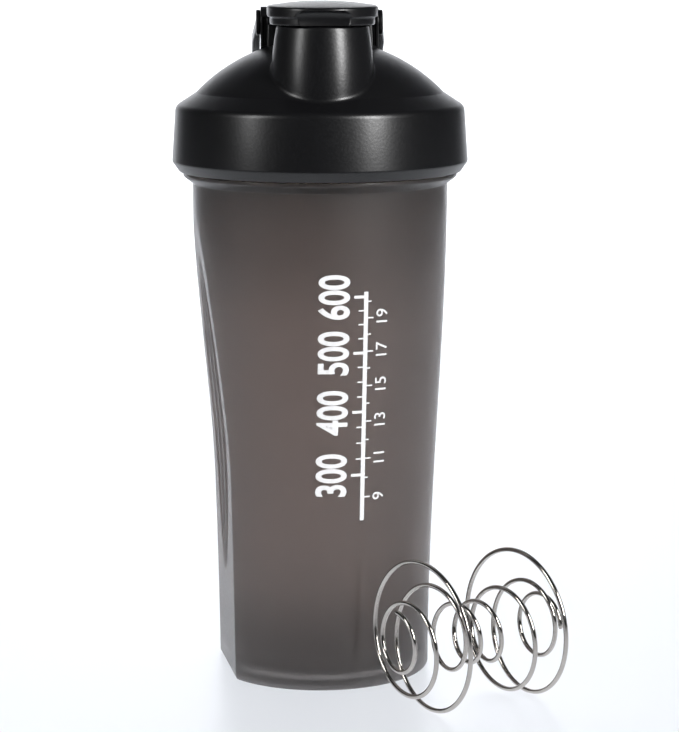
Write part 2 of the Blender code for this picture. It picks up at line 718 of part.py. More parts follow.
def make_carry_loop(parts, tools, look):
    """The carry loop, folded back, with an eye and an inward pivot at each end."""
    folded = Matrix.Translation((0.0, HINGE_Y, HINGE_Z)) @ Matrix.Rotation(LOOP_FOLD, 4, "X")
    loop = plate("carry_loop", loop_outline(), LOOP_DEPTH, parts, folded)
    eye_outer = LOOP_INNER_X + LOOP_ARM_T
    pivot_end = BARREL_HALF - PIVOT_REACH
    for side in (-1, 1):
        low, high = sorted((side * LOOP_INNER_X, side * eye_outer))
        combine(loop, rod_along_x("loop_eye_" + str(side + 2), LOOP_EYE_R, low, high, tools, 24), "UNION")
        low, high = sorted((side * pivot_end, side * (LOOP_INNER_X + 0.5 * MM)))
        combine(loop, rod_along_x("loop_pivot_" + str(side + 2), PIVOT_R, low, high, tools, 20), "UNION")
    return finish(loop, look)


def whisk_point(t):
    """A point of the whisk's wire, with t from 0 at its near end to 1 at its far end."""
    bulbs = math.sin(2 * math.pi * (WHISK_PHASE + WHISK_WAVES * t)) ** 2
    radius = WHISK_END_R + (WHISK_BULB_R - WHISK_END_R) * bulbs**WHISK_SHARPNESS
    along = WHISK_LENGTH * ((1 - WHISK_PACKING) * t + WHISK_PACKING * (3 * t**2 - 2 * t**3))
    angle = math.pi / 2 - 2 * math.pi * WHISK_TURNS * t
    ahead = Vector((math.sin(WHISK_HEADING), math.cos(WHISK_HEADING), -WHISK_SLOPE))
    across = Vector((ahead.y, -ahead.x, 0.0)).normalized()
    start = Vector((*WHISK_START, 0.0))
    swing = across * math.cos(angle) + Vector((0.0, 0.0, 1.0)) * math.sin(angle)
    return start + ahead * along + swing * radius


def make_whisk(parts, look):
    """The whisk: one steel wire wound into two bulbs, set down so that it touches the table."""
    count = round(WHISK_TURNS * WHISK_POINTS_PER_TURN)
    curve = bpy.data.curves.new("whisk", "CURVE")
    curve.dimensions = "3D"
    curve.bevel_depth = WIRE_R
    curve.bevel_resolution = 2
    curve.use_fill_caps = True
    spline = curve.splines.new("POLY")
    spline.points.add(count)
    for k in range(count + 1):
        spline.points[k].co = (*whisk_point(k / count), 1.0)
    whisk = curve_to_mesh("whisk", curve, parts)
    lowest = min(vertex.co.z for vertex in whisk.data.vertices)
    whisk.data.transform(Matrix.Translation((0.0, 0.0, -lowest)))
    return finish(whisk, look)


def main():
    for old in list(bpy.data.objects):
        bpy.data.objects.remove(old)
    parts = new_collection("protein_shaker_bottle")
    tools = new_collection("cutters")
    tools.hide_render = True
    smoke = material("smoke_plastic", (0.10, 0.09, 0.085), 0.35, alpha=0.85)
    black = material("black_plastic", (0.012, 0.012, 0.014), 0.38)
    rubber = material("grey_silicone", (0.16, 0.16, 0.17), 0.6)
    steel = material("steel_wire", (0.62, 0.60, 0.58), 0.22, metallic=1.0)
    make_cup(parts, tools, smoke)
    make_lid(parts, tools, black)
    make_lid_gasket(parts, rubber)
    make_flip_cap(parts, tools, black)
    make_spout_seal(parts, rubber)
    make_carry_loop(parts, tools, black)
    make_whisk(parts, steel)


main()
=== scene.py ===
import json
import math

import bmesh
import bpy
from mathutils import Matrix, Vector


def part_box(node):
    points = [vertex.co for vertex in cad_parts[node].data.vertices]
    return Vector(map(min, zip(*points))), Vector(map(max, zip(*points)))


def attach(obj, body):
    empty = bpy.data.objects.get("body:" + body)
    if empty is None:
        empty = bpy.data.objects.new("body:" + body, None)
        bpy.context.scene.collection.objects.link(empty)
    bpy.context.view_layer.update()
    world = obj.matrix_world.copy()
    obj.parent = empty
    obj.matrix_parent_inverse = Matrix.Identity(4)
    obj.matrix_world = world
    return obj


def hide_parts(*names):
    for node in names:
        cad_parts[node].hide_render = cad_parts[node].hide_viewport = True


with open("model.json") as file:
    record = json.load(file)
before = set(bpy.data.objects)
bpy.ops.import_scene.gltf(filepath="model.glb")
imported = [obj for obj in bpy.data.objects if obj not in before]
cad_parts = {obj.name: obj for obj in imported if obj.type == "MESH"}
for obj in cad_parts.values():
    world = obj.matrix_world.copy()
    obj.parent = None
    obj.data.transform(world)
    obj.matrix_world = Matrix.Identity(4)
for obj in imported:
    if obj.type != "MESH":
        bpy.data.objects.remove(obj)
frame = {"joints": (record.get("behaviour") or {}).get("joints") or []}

MM = 0.001

# Corners of the CAD pieces, and the hinge's place
CUP_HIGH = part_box("cup")[1]
LID_LOW, LID_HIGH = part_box("lid")
GASKET_LOW, GASKET_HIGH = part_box("lid_gasket")
CAP_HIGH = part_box("flip_cap")[1]
SEAL_LOW, SEAL_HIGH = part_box("spout_seal")
WHISK_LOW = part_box("whisk")[0]
JOINTS = {joint["name"]: joint for joint in frame["joints"]}
HINGE = Vector(JOINTS["flip_cap_hinge"]["pos_m"])

CLEARANCE = 0.3 * MM

# Cup
FOOT_R = 38.3 * MM
SHOULDER_R = 44.2 * MM
BODY_SWELL = 1.1
CUP_WALL = 1.8 * MM
CUP_FLOOR = 2.2 * MM
FOOT_RECESS = 1.0 * MM
FOOT_RING_W = 7.0 * MM
FOOT_FILLET = 1.5 * MM
COLLAR_R = CUP_HIGH.x
RIM_Z = CUP_HIGH.z
COLLAR_H = 3.8 * MM
COLLAR_LIP = 1.4 * MM
NECK_R = SHOULDER_R + 1.0 * MM
NECK_H = 19.4 * MM
NECK_WALL = 2.4 * MM
COLLAR_TOP_Z = RIM_Z - NECK_H
BODY_H = COLLAR_TOP_Z - COLLAR_H

# Side grips, which mirror each other about the direction that the print faces
PRINT_ANGLE = math.radians(-74.4)
GRIP_SPREAD = math.radians(97.0)
GRIP_DEPTH = 4.9 * MM
GRIP_DRAFT = 0.016
GRIP_TOP_Z = BODY_H - 10.0 * MM
GRIP_RAMP = 0.116
GRIP_BLEND = 0.8 * MM
GRIP_REACH = math.radians(50.0)
CREASE_R = 0.12 * MM
FLUTE_LOW_Z = 30.0 * MM
FLUTE_HIGH_Z = GRIP_TOP_Z - 10.0 * MM
FLUTE_HALF_W = 14.5 * MM
FLUTE_RIB = 1.6 * MM
FLUTE_DEPTH = 1.1 * MM

# Thread
THREAD_LEAD = 8.0 * MM
THREAD_TURNS = 1.25
THREAD_START = 6.2 * MM
THREAD_H = 1.4 * MM
THREAD_ROOT_W = 2.4 * MM
THREAD_CREST_W = 1.0 * MM

# Lid
SKIRT_FOOT_R = LID_HIGH.x
LID_FOOT_Z = LID_LOW.z
LID_BORE_R = SKIRT_FOOT_R - 3.2 * MM
SKIRT_TOP_R = SKIRT_FOOT_R - 1.3 * MM
SEAT_Z = GASKET_HIGH.z + CLEARANCE
DOME_FOOT_R = SKIRT_TOP_R - 7.1 * MM
DOME_FOOT_Z = SEAT_Z + 5.4 * MM
SHOULDER_DROP = 4.6 * MM
DOME_RISE = 18.3 * MM
DOME_R = (DOME_FOOT_R**2 + DOME_RISE**2) / (2 * DOME_RISE)
DOME_TOP_Z = DOME_FOOT_Z + DOME_RISE
DOME_CENTRE_Z = DOME_TOP_Z - DOME_R
LID_WALL = 2.2 * MM
RING_OUTER_R = NECK_R - NECK_WALL - 0.6 * MM
RING_INNER_R = RING_OUTER_R - 1.8 * MM
RING_REACH = 3.0 * MM

# Spout
SPOUT_Y = (SEAL_LOW.y + SEAL_HIGH.y) / 2
SPOUT_RIM_Z = DOME_TOP_Z + 5.3 * MM
SPOUT_FOOT_R = 17.5 * MM
SPOUT_RIM_R = 15.4 * MM
SPOUT_WALL = 2.1 * MM
SPOUT_FILLET = 1.1 * MM

# Hinge lugs, flip cap and carry loop
CAP_Z = SPOUT_RIM_Z + 0.4 * MM
CAP_R = CAP_HIGH.x
CAP_BAND_R = CAP_R - 0.9 * MM
CAP_BAND_H = 2.7 * MM
CAP_EDGE_H = 3.6 * MM
CAP_CROWN_H = 1.6 * MM
CAP_ROUND_R = 0.7 * MM
CAP_LIP_Z = CAP_Z + CAP_BAND_H
SCOOP_HALF_W = 17.0 * MM
SCOOP_HALF_H = 4.0 * MM
SCOOP_DEPTH = 3.6 * MM
SCOOP_Z = CAP_Z + 1.6 * MM
CAP_BACK_Y = -2.6 * MM
SPIGOT_R = 8.6 * MM
SPIGOT_H = 3.0 * MM
CAP_ARM_T = 3.4 * MM
BARREL_R = 3.6 * MM
BARREL_HALF = CAP_BAND_R - 0.3 * MM
PIVOT_R = 1.9 * MM
LUG_R = 5.5 * MM
LUG_FOOT_W = 15.0 * MM
LUG_FOOT_Z = DOME_TOP_Z - 9.0 * MM
LUG_INNER_X = BARREL_HALF + CLEARANCE
LUG_OUTER_X = LUG_INNER_X + 2.6 * MM
LUG_POCKET_W = 1.2 * MM
LUG_POCKET_DEPTH = 2.6 * MM
LOOP_INNER_X = LUG_OUTER_X + CLEARANCE
LOOP_ARM_T = 1.5 * MM
LOOP_BAR_W = 2.8 * MM
LOOP_CROSS_W = 4.2 * MM
LOOP_DEPTH = 4.4 * MM
LOOP_EYE_R = 4.4 * MM
LOOP_REACH = 47.0 * MM
LOOP_CORNER_R = 17.0 * MM
LOOP_FOLD = -math.atan(1.09 * DOME_RISE / DOME_FOOT_R)

# Whisk
WIRE_R = 0.8 * MM
WHISK_TURNS = 9.25
WHISK_LENGTH = 62.0 * MM
WHISK_END_R = 10.2 * MM
WHISK_BULB_R = 26.4 * MM
WHISK_SHARPNESS = 2.95
WHISK_PACKING = 0.59
WHISK_PHASE = 0.0285
WHISK_WAVES = 0.951
WHISK_START = (22.4 * MM, -67.7 * MM)
WHISK_HEADING = math.radians(58.3)
WHISK_SLOPE = 0.044

# Printed volume scale on the cup's front, with volumes in cubic metres
SCALE_LOW_Z = 60.0 * MM
SCALE_HIGH_Z = 139.0 * MM
SCALE_LINE_ANGLE = math.radians(-71.2)
SCALE_LINE_W = 1.5 * MM
NUMERAL_H = 10.4 * MM
SMALL_NUMERAL_H = 4.4 * MM
INK_LIFT = 0.06 * MM
MILLILITRE = 1e-6
FLUID_OUNCE = 29.57e-6

# Camera, as the photograph was taken
CAMERA_TURN = math.radians(1.9)
CAMERA_AT = (-0.8915 * math.sin(CAMERA_TURN), -0.8915 * math.cos(CAMERA_TURN), 0.2570)
CAMERA_PITCH = math.radians(9.551)
CAMERA_YAW = math.radians(0.434)
CAMERA_LENS = 136.39
CAMERA_SENSOR = 36.0

AROUND = 256


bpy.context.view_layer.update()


# ---- mesh helpers

def object_from(name, mesh):
    """An object in the scene that shows a mesh."""
    piece = bpy.data.objects.new(name, mesh)
    bpy.context.scene.collection.objects.link(piece)
    return piece


def skin(name, rings, close=True, start=None, end=None):
    """A surface through rings of points. A start or end point closes that side with a fan."""
    points = [point for ring in rings for point in ring]
    count = len(rings[0])
    spans = count if close else count - 1
    faces = []
    for k in range(len(rings) - 1):
        for i in range(spans):
            j = (i + 1) % count
            faces.append((k * count + i, k * count + j, (k + 1) * count + j, (k + 1) * count + i))
    for tip, ring in ((start, 0), (end, len(rings) - 1)):
        if tip is None:
            continue
        points.append(tip)
        for i in range(spans):
            j = (i + 1) % count
            faces.append((ring * count + i, ring * count + j, len(points) - 1))
    mesh = bpy.data.meshes.new(name)
    mesh.from_pydata([tuple(point) for point in points], [], faces)
    tidy(mesh)
    return object_from(name, mesh)


def tidy(mesh, weld=0.0):
    """Turns the faces outwards, and welds points that lie together."""
    shape = bmesh.new()
    shape.from_mesh(mesh)
    if weld:
        bmesh.ops.remove_doubles(shape, verts=shape.verts, dist=weld)
    bmesh.ops.recalc_face_normals(shape, faces=shape.faces)
    shape.to_mesh(mesh)
    shape.free()


def smooth(piece, angle=35):
    """Smooth shading, with edges sharper than the angle kept."""
    piece.data.shade_smooth()
    piece.data.set_sharp_from_angle(angle=math.radians(angle))


def rounded(corners, steps=6):
    """The points of an open outline whose corners (x, y, radius) are rounded."""
    points = []
    for i, (x, y, radius) in enumerate(corners):
        corner = Vector((x, y))
        if radius == 0 or i in (0, len(corners) - 1):
            points.append(tuple(corner))
            continue
        before = (Vector(corners[i - 1][:2]) - corner).normalized()
        after = (Vector(corners[i + 1][:2]) - corner).normalized()
        half = before.angle(after) / 2
        start = corner + before * (radius / math.tan(half))
        end = corner + after * (radius / math.tan(half))
        centre = corner + (before + after).normalized() * (radius / math.sin(half))
        first = start - centre
        sweep = first.angle_signed(end - centre)
        for k in range(steps + 1):
            points.append(tuple(centre + Matrix.Rotation(-sweep * k / steps, 2) @ first))
    return points


def arc(centre, radius, start, end, steps):
    """Points on an arc between two angles."""
    angles = [start + (end - start) * k / steps for k in range(steps + 1)]
    return [(centre[0] + radius * math.cos(a), centre[1] + radius * math.sin(a)) for a in angles]


def circle_ring(radius, z, count=AROUND, centre=(0.0, 0.0)):
    """A ring of points around a vertical axis."""
    turns = [2 * math.pi * i / count for i in range(count)]
    return [(centre[0] + radius * math.cos(a), centre[1] + radius * math.sin(a), z) for a in turns]


def lathe(name, profile, count=AROUND, centre=(0.0, 0.0)):
    """A closed solid of revolution. A profile that starts or ends on the axis is closed with a fan."""
    start = end = None
    if profile[0][0] == 0:
        start = (*centre, profile[0][1])
        profile = profile[1:]
    if profile[-1][0] == 0:
        end = (*centre, profile[-1][1])
        profile = profile[:-1]
    rings = [circle_ring(r, z, count, centre) for r, z in profile]
    if start is None and end is None:
        rings.append(rings[0])
        piece = skin(name, rings)
        tidy(piece.data, 0.001 * MM)
        return piece
    return skin(name, rings, start=start, end=end)


def rod_x(name, radius, low_x, high_x, edge, count=64):
    """A cylinder along X on the hinge's axis, with rounded ends."""
    middle = (low_x + high_x) / 2
    half = (high_x - low_x) / 2
    profile = rounded([(0.0, half, 0), (radius, half, edge), (radius, -half, edge), (0.0, -half, 0)], 4)
    piece = lathe(name, profile, count)
    along_x = Matrix.Rotation(math.pi / 2, 4, "Y")
    piece.data.transform(Matrix.Translation((middle, HINGE.y, HINGE.z)) @ along_x)
    return piece


def prism_x(name, outline, low_x, high_x):
    """An upright plate: an outline (y, z) measured from the hinge's axis, between two x values."""
    count = len(outline)
    points = [(x, HINGE.y + y, HINGE.z + z) for x in (low_x, high_x) for y, z in outline]
    faces = [tuple(range(count)), tuple(range(2 * count - 1, count - 1, -1))]
    for i in range(count):
        j = (i + 1) % count
        faces.append((i, i + count, j + count, j))
    mesh = bpy.data.meshes.new(name)
    mesh.from_pydata(points, [], faces)
    tidy(mesh)
    return object_from(name, mesh)


def boolean(piece, tool, operation):
    """Combines a piece with a tool, which is then removed."""
    step = piece.modifiers.new("cut", "BOOLEAN")
    step.operation = operation
    step.solver = "EXACT"
    step.object = tool
    apply_modifiers(piece)
    bpy.data.objects.remove(tool)


def bevel(piece, width, segments=3, angle=40):
    """Rounds the edges that are sharper than an angle."""
    step = piece.modifiers.new("round", "BEVEL")
    step.width = width
    step.segments = segments
    step.limit_method = "ANGLE"
    step.angle_limit = math.radians(angle)
    step.use_clamp_overlap = True
    apply_modifiers(piece)


def apply_modifiers(piece):
    """Replaces a piece's mesh with what its modifiers make."""
    bpy.context.view_layer.update()
    shown = piece.evaluated_get(bpy.context.evaluated_depsgraph_get())
    mesh = bpy.data.meshes.new_from_object(shown)
    piece.modifiers.clear()
    piece.data = mesh


def join(name, pieces):
    """One object made of several, each still a closed shell."""
    shape = bmesh.new()
    for piece in pieces:
        shape.from_mesh(piece.data)
        bpy.data.objects.remove(piece)
    mesh = bpy.data.meshes.new(name)
    shape.to_mesh(mesh)
    shape.free()
    return object_from(name, mesh)


def helical_ridge(name, radius, height, start_z, count=160):
    """A thread ridge; a negative height makes it point inwards."""
    side = math.copysign(1, height)
    sink = 0.3 * MM
    rings = []
    for k in range(count + 1):
        angle = 2 * math.pi * THREAD_TURNS * k / count
        z = start_z + THREAD_LEAD * THREAD_TURNS * k / count
        ease = min(1.0, k / 12, (count - k) / 12)
        crest = radius + height * (0.15 + 0.85 * ease)
        section = rounded(
            [
                (radius - side * sink, -THREAD_ROOT_W / 2, 0),
                (crest, -THREAD_CREST_W / 2, 0.25 * MM),
                (crest, THREAD_CREST_W / 2, 0.25 * MM),
                (radius - side * sink, THREAD_ROOT_W / 2, 0),
            ],
            3,
        )
        rings.append([(r * math.cos(angle), r * math.sin(angle), z + dz) for r, dz in section])
    first = sum((Vector(p) for p in rings[0]), Vector()) / len(rings[0])
    last = sum((Vector(p) for p in rings[-1]), Vector()) / len(rings[-1])
    return skin(name, rings, start=first, end=last)


# ---- the cup

def body_radius(z):
    """The cup's outer radius at a height, before the grips are cut."""
    t = min(max(z / BODY_H, 0.0), 1.0) ** BODY_SWELL
    return FOOT_R + (SHOULDER_R - FOOT_R) * (3 * t**2 - 2 * t**3)


def grip_distance(z):
    """How far a grip's face is from the cup's axis."""
    foot = FOOT_R - GRIP_DEPTH + GRIP_DRAFT * z
    ramp = body_radius(GRIP_TOP_Z) - GRIP_RAMP * (GRIP_TOP_Z - z)
    return (foot + ramp) / 2 + math.sqrt(((foot - ramp) / 2) ** 2 + GRIP_BLEND**2)


def crease_angle(z):
    """Half the angle that a grip takes up at a height."""
    share = grip_distance(z) / body_radius(z)
    return math.acos(share) if share < 1 else 0.0


def grip_angles():
    """The directions in which the two grips face, and the front's direction."""
    return PRINT_ANGLE - GRIP_SPREAD, PRINT_ANGLE + GRIP_SPREAD


def cup_columns(z):
    """The cup's directions at a height, crowded at the creases: (angle, the grip it is on or None)."""
    half = max(crease_angle(z), 0.004)
    left, right = grip_angles()
    columns = []
    spans = (
        (left + half, right - half, 90, None),
        (right - half, right + half, 150, right),
        (right + half, left + 2 * math.pi - half, 80, None),
        (left - half, left + half, 150, left),
    )
    for start, end, steps, grip in spans:
        for k in range(steps):
            share = k / steps
            eased = 0.5 - 0.5 * math.cos(math.pi * share)
            share = 0.35 * share + 0.65 * eased if grip is None else 0.5 * share + 0.5 * eased
            columns.append((start + (end - start) * share, grip))
    return columns


def flute_depth(side, z):
    """The depth of the three flutes at a place on a grip's face."""
    t = (z - FLUTE_LOW_Z) / (FLUTE_HIGH_Z - FLUTE_LOW_Z)
    if not 0 < t < 1:
        return 0.0
    spread = FLUTE_HALF_W * math.sin(math.pi * t) ** 0.8
    half = spread / 3 - FLUTE_RIB / 2
    if half <= 0:
        return 0.0
    for flute in (-1, 0, 1):
        place = abs(side - flute * spread * 2 / 3) / half
        if place < 1:
            return FLUTE_DEPTH * min(1.0, half / (2 * MM)) * (1 - place**2) ** 0.7
    return 0.0


def cup_radius(angle, grip, z, inset=0.0):
    """The cup's radius in a direction at a height, with the creases slightly rounded."""
    body = body_radius(z) - inset
    nearest = min(grip_angles(), key=lambda g: abs(math.remainder(angle - g, 2 * math.pi)))
    offset = math.remainder(angle - nearest, 2 * math.pi)
    if abs(offset) > GRIP_REACH:
        return body
    face = (grip_distance(z) - inset) / math.cos(offset)
    radius = (body + face) / 2 - math.sqrt(((body - face) / 2) ** 2 + CREASE_R**2)
    radius += CREASE_R**2 / max(abs(body - face), 2 * CREASE_R)
    if grip is not None and inset == 0.0:
        radius -= flute_depth(grip_distance(z) * math.tan(offset), z) / math.cos(offset)
    return min(radius, body)


def cup_ring(z, height=None, inset=0.0, less=0.0):
    """A ring of the cup's wall that takes its directions from a height."""
    height = z if height is None else height
    ring = []
    for angle, grip in cup_columns(height):
        radius = cup_radius(angle, grip, height, inset) - less
        ring.append((radius * math.cos(angle), radius * math.sin(angle), z))
    return ring


def round_ring(radius, z, height=BODY_H):
    """A circular ring that shares the cup's directions at a height."""
    return [(radius * math.cos(a), radius * math.sin(a), z) for a, _ in cup_columns(height)]


def cup_rings():
    """The cup's rings, from its inside floor up over the rim and down to its underside."""
    floor_z = FOOT_RECESS + CUP_FLOOR
    corner = 4.0 * MM
    recess_r = FOOT_R - FOOT_RING_W
    inner_r = NECK_R - NECK_WALL
    rings = [round_ring(recess_r * 0.5, floor_z, 0.0)]
    for k in range(9):
        turn = math.pi / 2 * k / 8
        z = floor_z + corner * (1 - math.cos(turn))
        rings.append(cup_ring(z, z, CUP_WALL, corner * (1 - math.sin(turn))))
    steps = 80
    low = floor_z + corner
    for k in range(1, steps + 1):
        rings.append(cup_ring(low + (BODY_H - low) * k / steps, None, CUP_WALL))
    outline = rounded(
        [
            (inner_r, COLLAR_TOP_Z, 0),
            (inner_r, RIM_Z, 0.7 * MM),
            (NECK_R, RIM_Z, 0.7 * MM),
            (NECK_R, COLLAR_TOP_Z, 0.5 * MM),
            (COLLAR_R, COLLAR_TOP_Z, 0.5 * MM),
            (COLLAR_R, COLLAR_TOP_Z - COLLAR_LIP, 0.8 * MM),
            (body_radius(BODY_H), BODY_H, 0.8 * MM),
            (body_radius(BODY_H - 3 * MM), BODY_H - 3 * MM, 0),
        ],
        6,
    )
    rings += [round_ring(r, z) for r, z in outline[:-1]]
    steps = 150
    for k in range(steps + 1):
        z = BODY_H - 2 * MM + (FOOT_FILLET - BODY_H + 2 * MM) * k / steps
        rings.append(cup_ring(z))
    for k in range(1, 8):
        turn = math.pi / 2 * k / 7
        z = FOOT_FILLET * (1 - math.sin(turn))
        rings.append(cup_ring(z, z, 0.0, FOOT_FILLET * (1 - math.cos(turn))))
    rings.append(round_ring(recess_r, 0.0, 0.0))
    rings.append(round_ring(recess_r - FOOT_RECESS, FOOT_RECESS, 0.0))
    return rings


def make_cup():
    """The cup: one wall with two fluted grips, a collar and a threaded neck."""
    inside_middle = (0.0, 0.0, FOOT_RECESS + CUP_FLOOR)
    body = skin("cup_body", cup_rings(), start=inside_middle, end=(0.0, 0.0, FOOT_RECESS))
    ridge = helical_ridge("cup_thread", NECK_R, THREAD_H, COLLAR_TOP_Z + THREAD_START)
    cup = join("shaker_cup", [body, ridge])
    smooth(cup, 50)
    return cup


# ---- the lid

def lid_height(radius):
    """The height of the lid's top at a distance from its axis."""
    if radius <= DOME_FOOT_R:
        return DOME_CENTRE_Z + math.sqrt(DOME_R**2 - radius**2)
    slope = SHOULDER_DROP / (SKIRT_TOP_R - DOME_FOOT_R)
    return DOME_FOOT_Z - slope * (radius - DOME_FOOT_R)


def make_lid_shell():
    """The lid's skirt, shoulder and dome with its inside, opened under the spout."""
    edge_angle = math.asin((DOME_FOOT_Z - DOME_CENTRE_Z) / DOME_R)
    dome = arc((0.0, DOME_CENTRE_Z), DOME_R, math.pi / 2, edge_angle + 0.02, 48)
    dome[0] = (0.0, DOME_TOP_Z)
    outside = rounded(
        [
            (*dome[-1], 0),
            (DOME_FOOT_R, DOME_FOOT_Z, 1.2 * MM),
            (SKIRT_TOP_R, DOME_FOOT_Z - SHOULDER_DROP, 3.0 * MM),
            (SKIRT_FOOT_R, LID_FOOT_Z + 3.4 * MM, 1.3 * MM),
            (SKIRT_FOOT_R - 2.3 * MM, LID_FOOT_Z, 0.3 * MM),
            (LID_BORE_R, LID_FOOT_Z, 0.3 * MM),
            (LID_BORE_R, SEAT_Z, 0.4 * MM),
            (RING_OUTER_R, SEAT_Z, 0.3 * MM),
            (RING_OUTER_R, RIM_Z - RING_REACH, 0.5 * MM),
            (RING_INNER_R, RIM_Z - RING_REACH, 0.5 * MM),
            (RING_INNER_R, SEAT_Z, 0),
        ],
        8,
    )[1:]
    inner_r = DOME_R - LID_WALL
    inside = arc((0.0, DOME_CENTRE_Z), inner_r, math.acos(RING_INNER_R / inner_r), math.pi / 2, 32)
    inside[-1] = (0.0, DOME_CENTRE_Z + inner_r)
    shell = lathe("lid_shell", dome + outside + inside)
    bore = SPOUT_FOOT_R - SPOUT_WALL + 0.1 * MM
    cutter = lathe(
        "spout_cutter",
        [(0.0, SPOUT_RIM_Z), (bore, SPOUT_RIM_Z), (bore, SEAT_Z), (0.0, SEAT_Z)],
        128,
        (0.0, SPOUT_Y),
    )
    boolean(shell, cutter, "DIFFERENCE")
    return shell


def spout_radius(z):
    """The spout's outer radius at a height."""
    t = (z - DOME_FOOT_Z) / (SPOUT_RIM_Z - DOME_FOOT_Z)
    return SPOUT_FOOT_R - (SPOUT_FOOT_R - SPOUT_RIM_R) * max(t, 0.0) ** 2


def spout_column(angle):
    """The spout's outline in one direction: bore, rim, barrel, and a fillet down onto the dome."""
    def at(radius, z):
        return Vector((radius * math.cos(angle), SPOUT_Y + radius * math.sin(angle), z))

    def top_at(radius):
        place = at(radius, 0.0)
        return lid_height(math.hypot(place.x, place.y))

    foot_z = top_at(SPOUT_FOOT_R)
    foot_r = spout_radius(foot_z)
    inside_z = top_at(foot_r - SPOUT_WALL) - LID_WALL - 0.3 * MM
    column = [at(spout_radius(DOME_FOOT_Z) - SPOUT_WALL, inside_z)]
    steps = 10
    for k in range(1, steps):
        z = inside_z + (SPOUT_RIM_Z - 0.6 * MM - inside_z) * k / steps
        column.append(at(spout_radius(z) - SPOUT_WALL, z))
    rim = [
        (SPOUT_RIM_R - SPOUT_WALL, SPOUT_RIM_Z - 0.6 * MM, 0),
        (SPOUT_RIM_R - SPOUT_WALL, SPOUT_RIM_Z, 0.5 * MM),
        (SPOUT_RIM_R, SPOUT_RIM_Z, 0.7 * MM),
        (spout_radius(SPOUT_RIM_Z - 1.5 * MM), SPOUT_RIM_Z - 1.5 * MM, 0),
    ]
    column += [at(r, z) for r, z in rounded(rim, 5)]
    high = SPOUT_RIM_Z - 1.5 * MM
    low = foot_z + SPOUT_FILLET
    steps = 20
    for k in range(1, steps + 1):
        z = high + (low - high) * k / steps
        column.append(at(spout_radius(z), z))
    start = at(spout_radius(low), low)
    corner = at(foot_r, foot_z)
    reach = foot_r + SPOUT_FILLET
    end = at(reach, top_at(reach) - 0.02 * MM)
    steps = 6
    for k in range(1, steps + 1):
        t = k / steps
        column.append(start * (1 - t) ** 2 + corner * (2 * t * (1 - t)) + end * t**2)
    column.append(at(foot_r - 0.5 * MM, foot_z - 1.2 * MM))
    return column


def make_spout():
    """The drinking spout, filleted onto the dome."""
    columns = [spout_column(2 * math.pi * i / 160) for i in range(160)]
    rings = [[column[k] for column in columns] for k in range(len(columns[0]))]
    rings.append(rings[0])
    spout = skin("spout", rings)
    tidy(spout.data, 0.001 * MM)
    return spout


def make_lug(side):
    """A hinge lug beside the flip cap, with its front slot and pivot hole."""
    foot_z = LUG_FOOT_Z - HINGE.z
    outline = arc((0.0, 0.0), LUG_R, math.radians(-15), math.radians(195), 40)
    outline += [(-LUG_FOOT_W / 2, foot_z), (LUG_FOOT_W / 2, foot_z)]
    low_x, high_x = sorted((side * LUG_INNER_X, side * (LOOP_INNER_X - 0.05 * MM)))
    lug = prism_x("lug", outline, low_x, high_x)
    middle = side * (LUG_INNER_X + LUG_OUTER_X) / 2
    low_z = DOME_TOP_Z - HINGE.z - 2.5 * MM
    reach = -LUG_R + LUG_POCKET_DEPTH
    pocket = [(-LUG_FOOT_W, low_z), (reach, low_z), (reach, PIVOT_R), (-LUG_FOOT_W, PIVOT_R)]
    slot = prism_x("slot", pocket, middle - LUG_POCKET_W / 2, middle + LUG_POCKET_W / 2)
    boolean(lug, slot, "DIFFERENCE")
    hole = rod_x("hole", PIVOT_R + CLEARANCE, low_x - 1 * MM, high_x + 1 * MM, 0.1 * MM)
    boolean(lug, hole, "DIFFERENCE")
    bevel(lug, 0.22 * MM)
    return lug


def make_gusset(side):
    """The web inside a lug's foot that closes the gap to the spout, clear of the cap's barrel."""
    top_z = -BARREL_R - CLEARANCE
    foot_z = LUG_FOOT_Z - HINGE.z
    web_z = -0.5 * MM
    outline = [
        (-7.5 * MM, foot_z),
        (5.0 * MM, foot_z),
        (2.5 * MM, top_z),
        (-4.1 * MM, top_z),
        (-4.1 * MM, web_z),
        (-7.5 * MM, web_z),
    ]
    low_x, high_x = sorted((side * (LUG_INNER_X - 3.2 * MM), side * (LUG_INNER_X + 0.4 * MM)))
    gusset = prism_x("gusset", outline, low_x, high_x)
    bevel(gusset, 0.4 * MM)
    return gusset


def make_lid():
    """The lid: shell, spout, two lugs and its inner thread."""
    ridge_z = COLLAR_TOP_Z + THREAD_START - THREAD_ROOT_W - CLEARANCE
    bite = LID_BORE_R - NECK_R - THREAD_H + 1.0 * MM
    pieces = [make_lid_shell(), make_spout(), make_lug(-1), make_lug(1), make_gusset(-1), make_gusset(1)]
    pieces.append(helical_ridge("lid_thread", LID_BORE_R, -bite, ridge_z))
    lid = join("screw_lid", pieces)
    smooth(lid, 38)
    return lid


def make_gasket():
    """The flat silicone ring on the neck's rim."""
    inner = RING_OUTER_R + CLEARANCE
    outer = GASKET_HIGH.x
    low, high = GASKET_LOW.z, GASKET_HIGH.z
    middle = (low + high) / 2
    corners = [(inner, middle, 0), (inner, high, 0.4 * MM), (outer, high, 0.5 * MM)]
    corners += [(outer, low, 0.5 * MM), (inner, low, 0.4 * MM), (inner, middle, 0)]
    gasket = lathe("seal_ring", rounded(corners, 4)[:-1])
    smooth(gasket)
    return gasket


# ---- the flip cap

def cap_edge(half, angle):
    """A point of the cap's plan outline: round in front, straight sides, square back."""
    x = math.cos(angle)
    y = math.sin(angle)
    if y <= 0:
        return half * x, SPOUT_Y + half * y
    back = CAP_BACK_Y - SPOUT_Y
    scale = min(half / max(abs(x), 1e-9), back / y)
    return scale * x, SPOUT_Y + scale * y


